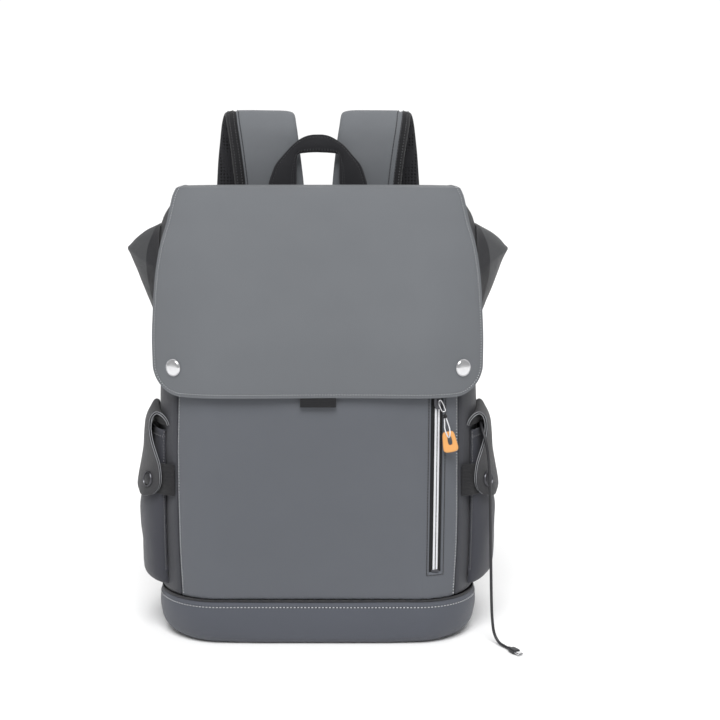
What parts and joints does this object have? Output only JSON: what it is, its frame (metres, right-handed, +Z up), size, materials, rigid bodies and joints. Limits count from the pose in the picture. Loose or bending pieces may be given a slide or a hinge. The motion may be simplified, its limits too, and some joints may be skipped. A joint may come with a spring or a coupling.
{
  "type": "flap-top backpack",
  "caption": "Grey flap-top backpack with side pockets, snap tabs, a front zip, padded shoulder straps and a short charging lead.",
  "frame": {"origin": "middle of the flat base", "axes": "+Z up, +Y towards the wearer's back, +X to the right seen from the front"},
  "size_m": [0.3828, 0.2396, 0.5124],
  "materials": {
    "grey_cloth": "matt coated fine weave",
    "dark_cloth": "matt coated fine weave",
    "black_webbing": "ribbed webbing",
    "air_mesh": "open spacer mesh",
    "stiffener_board": "plain",
    "polished_steel": "polished",
    "dark_metal": "satin",
    "silver_zip": "silver coated",
    "tan_leather": "smooth",
    "black_plastic": "fine texture",
    "lead_jacket": "satin"
  },
  "bodies": {
    "bag": {"base_shell": "grey_cloth", "front_panel": "grey_cloth", "back_panel": "dark_cloth", "left_side_panel": "grey_cloth", "left_collar_gusset": "black_webbing", "right_side_panel": "grey_cloth", "right_collar_gusset": "black_webbing", "base_board": "stiffener_board", "laptop_divider": "dark_cloth", "left_flap_snap_socket": "polished_steel", "right_flap_snap_socket": "polished_steel", "front_tab": "black_webbing", "left_folded_ear": "grey_cloth", "right_folded_ear": "grey_cloth", "left_side_pocket": "grey_cloth", "right_side_pocket": "grey_cloth", "left_pocket_elastic": "black_webbing", "right_pocket_elastic": "black_webbing", "left_tab_root": "dark_cloth", "right_tab_root": "dark_cloth", "left_pocket_snap_stud": "dark_metal", "right_pocket_snap_stud": "dark_metal", "zip_tape": "black_webbing", "zip_coil": "silver_zip", "zip_bottom_stop": "dark_metal", "left_back_pad": "air_mesh", "right_back_pad": "air_mesh", "lumbar_pad": "air_mesh", "strap_yoke": "grey_cloth", "left_strap_riser": "grey_cloth", "right_strap_riser": "grey_cloth", "left_webbing_anchor": "dark_cloth", "right_webbing_anchor": "dark_cloth", "usb_port": "black_plastic", "usb_plug": "lead_jacket", "usb_lead": "lead_jacket", "usb_connector": "lead_jacket"},
    "flap_lid": {"flap_top": "grey_cloth"},
    "flap_apron": {"flap_front": "grey_cloth", "left_flap_snap_cap": "polished_steel", "right_flap_snap_cap": "polished_steel"},
    "left_tab": {"left_pocket_tab": "dark_cloth", "left_tab_snap": "dark_metal"},
    "right_tab": {"right_pocket_tab": "dark_cloth", "right_tab_snap": "dark_metal"},
    "slider": {"zip_slider": "dark_metal"},
    "puller": {"zip_puller": "polished_steel"},
    "tag": {"cord_knot": "black_webbing", "tag_cord": "silver_zip", "leather_tag": "tan_leather"},
    "handle": {"top_handle": "black_webbing"},
    "left_strap": {"left_shoulder_strap": "grey_cloth", "left_ladder_lock": "black_plastic", "left_lower_webbing": "black_webbing", "left_webbing_tail": "black_webbing"},
    "right_strap": {"right_shoulder_strap": "grey_cloth", "right_ladder_lock": "black_plastic", "right_lower_webbing": "black_webbing", "right_webbing_tail": "black_webbing"}
  },
  "joints": [
    {"name": "flap_hinge", "type": "hinge", "parent": "bag", "child": "flap_lid", "pos_m": [0, 0.067, 0.4372], "axis": [-1, 0, 0], "range_deg": [0, 88]},
    {"name": "flap_fold", "type": "hinge", "parent": "flap_lid", "child": "flap_apron", "pos_m": [0, -0.019, 0.4392], "axis": [-1, 0, 0], "range_deg": [0, 120]},
    {"name": "left_tab_hinge", "type": "hinge", "parent": "bag", "child": "left_tab", "pos_m": [-0.15677, -0.03109, 0.22827], "axis": [-0.1236, 0.9875, 0.0976], "range_deg": [0, 100]},
    {"name": "right_tab_hinge", "type": "hinge", "parent": "bag", "child": "right_tab", "pos_m": [0.15677, -0.03109, 0.22827], "axis": [-0.1236, -0.9875, -0.0976], "range_deg": [0, 100]},
    {"name": "zip_slide", "type": "slide", "parent": "bag", "child": "slider", "axis": [0, 0, -1], "range_m": [0, 0.155]},
    {"name": "puller_lift", "type": "hinge", "parent": "slider", "child": "puller", "pos_m": [0.1143, -0.0804, 0.242], "axis": [-1, 0, 0], "range_deg": [0, 120]},
    {"name": "tag_swing", "type": "hinge", "parent": "puller", "child": "tag", "pos_m": [0.1196, -0.0804, 0.2272], "axis": [0, 1, 0], "range_deg": [-50, 40]},
    {"name": "handle_fold", "type": "hinge", "parent": "bag", "child": "handle", "pos_m": [0, 0.074, 0.441], "axis": [-1, 0, 0], "range_deg": [-70, 0]},
    {"name": "left_strap_swing", "type": "hinge", "parent": "bag", "child": "left_strap", "pos_m": [-0.0608, 0.1051, 0.5125], "axis": [1, 0, 0], "range_deg": [0, 12]},
    {"name": "right_strap_swing", "type": "hinge", "parent": "bag", "child": "right_strap", "pos_m": [0.0608, 0.1051, 0.5125], "axis": [1, 0, 0], "range_deg": [0, 12]}
  ]
}
